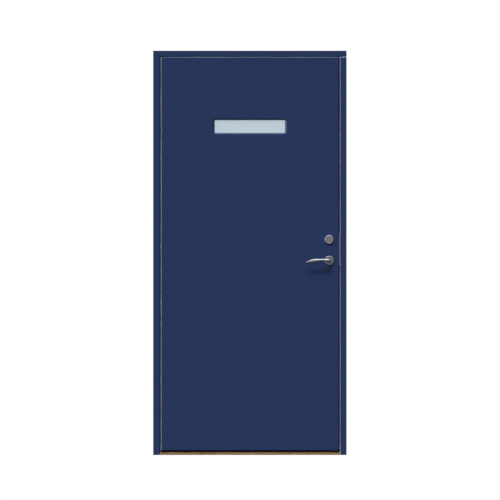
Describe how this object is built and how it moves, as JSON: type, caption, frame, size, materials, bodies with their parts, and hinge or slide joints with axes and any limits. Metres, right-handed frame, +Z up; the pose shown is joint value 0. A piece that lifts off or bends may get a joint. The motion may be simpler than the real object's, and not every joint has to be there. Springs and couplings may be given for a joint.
{
  "type": "exterior door with a small glazed light",
  "caption": "Outward-opening flush steel-faced door in its timber frame, with a low wide frosted light, a lever handle, a deadlock and concealed hinges.",
  "frame": {"origin": "middle of the threshold's underside, halfway through the frame's depth", "axes": "+X to the right seen from outside, +Y into the building, +Z up; the leaf opens towards -Y on hinges at -X"},
  "size_m": [0.995, 0.1728, 2.08],
  "materials": {
    "blue_timber": "satin paint",
    "oak": "oiled",
    "seal_rubber": "matt",
    "blue_steel": "smooth satin powder coat",
    "blue_plastic": "satin",
    "pine": "planed, unfinished",
    "foam": "rigid foam",
    "frosted_glass": "frosted",
    "clear_glass": "clear",
    "spacer_metal": "mill",
    "sealant": "matt",
    "satin_nickel": "satin",
    "cylinder_metal": "satin nickel plated",
    "stainless": "brushed",
    "zinc_plated": "bright zinc",
    "hinge_steel": "dark satin"
  },
  "bodies": {
    "frame": {"frame_head": "blue_timber", "hinge_jamb": "blue_timber", "lock_jamb": "blue_timber", "threshold": "oak", "head_seal": "seal_rubber", "hinge_side_seal": "seal_rubber", "lock_side_seal": "seal_rubber", "threshold_seal": "seal_rubber", "strike_plate": "stainless", "strike_screws": "zinc_plated", "hinge_cup_lower": "hinge_steel", "hinge_cup_middle": "hinge_steel", "hinge_cup_upper": "hinge_steel", "hinge_pins": "zinc_plated", "hinge_cup_screws": "zinc_plated", "frame_sleeves": "zinc_plated", "corner_screws": "zinc_plated"},
    "leaf": {"bezel_screws": "zinc_plated", "bottom_rail": "blue_timber", "cylinder_body": "cylinder_metal", "cylinder_ring": "satin_nickel", "edge_sealant": "sealant", "forend": "stainless", "forend_screws": "zinc_plated", "hinge_arm_lower": "hinge_steel", "hinge_arm_middle": "hinge_steel", "hinge_arm_screws": "zinc_plated", "hinge_arm_upper": "hinge_steel", "hinge_stile": "blue_timber", "inner_bezel": "blue_plastic", "inner_glazing_gasket": "sealant", "inner_pane": "clear_glass", "inner_rose": "satin_nickel", "inner_skin": "blue_steel", "insulation_core": "foam", "latch_spring": "zinc_plated", "lock_case": "zinc_plated", "lock_cover": "zinc_plated", "lock_stile": "blue_timber", "outer_bezel": "blue_plastic", "outer_glazing_gasket": "sealant", "outer_pane": "frosted_glass", "outer_rose": "satin_nickel", "outer_skin": "blue_steel", "pane_spacer": "spacer_metal", "rose_bolts": "zinc_plated", "setting_blocks": "sealant", "thumbturn_rose": "satin_nickel", "top_rail": "blue_timber", "window_liner": "pine"},
    "handle": {"outer_lever": "satin_nickel", "inner_lever": "satin_nickel", "spindle": "zinc_plated", "follower": "zinc_plated"},
    "thumb_turn": {"thumbturn": "satin_nickel", "deadbolt_crank": "zinc_plated"},
    "latch": {"latch_bolt": "zinc_plated"},
    "bolt": {"deadbolt": "zinc_plated"},
    "plug": {"cylinder_plug": "cylinder_metal"}
  },
  "joints": [
    {"name": "leaf_swing", "type": "hinge", "parent": "frame", "child": "leaf", "pos_m": [-0.48, -0.038, 1.04], "axis": [0, 0, -1], "range_deg": [0, 95]},
    {"name": "handle_turn", "type": "hinge", "parent": "leaf", "child": "handle", "pos_m": [0.4085, -0.0225, 1], "axis": [0, -1, 0], "range_deg": [0, 45], "stiffness_Nm_per_rad": 1.2, "springref_deg": -34.38},
    {"name": "latch_slide", "type": "slide", "parent": "leaf", "child": "latch", "axis": [-1, 0, 0], "range_m": [0, 0.012], "deforming": ["latch_spring"]},
    {"name": "thumb_turn_turn", "type": "hinge", "parent": "leaf", "child": "thumb_turn", "pos_m": [0.4085, -0.0225, 1.105], "axis": [0, -1, 0], "range_deg": [0, 90]},
    {"name": "deadbolt_slide", "type": "slide", "parent": "leaf", "child": "bolt", "axis": [1, 0, 0], "range_m": [0, 0.02]},
    {"name": "cylinder_plug_turn", "type": "hinge", "parent": "leaf", "child": "plug", "pos_m": [0.4085, -0.0225, 1.105], "axis": [0, -1, 0], "range_deg": [-90, 90]}
  ],
  "couplings": [
    {"joint": "latch_slide", "follows": "handle_turn", "m_per_rad": 0.01527},
    {"joint": "deadbolt_slide", "follows": "thumb_turn_turn", "m_per_rad": 0.01273}
  ]
}
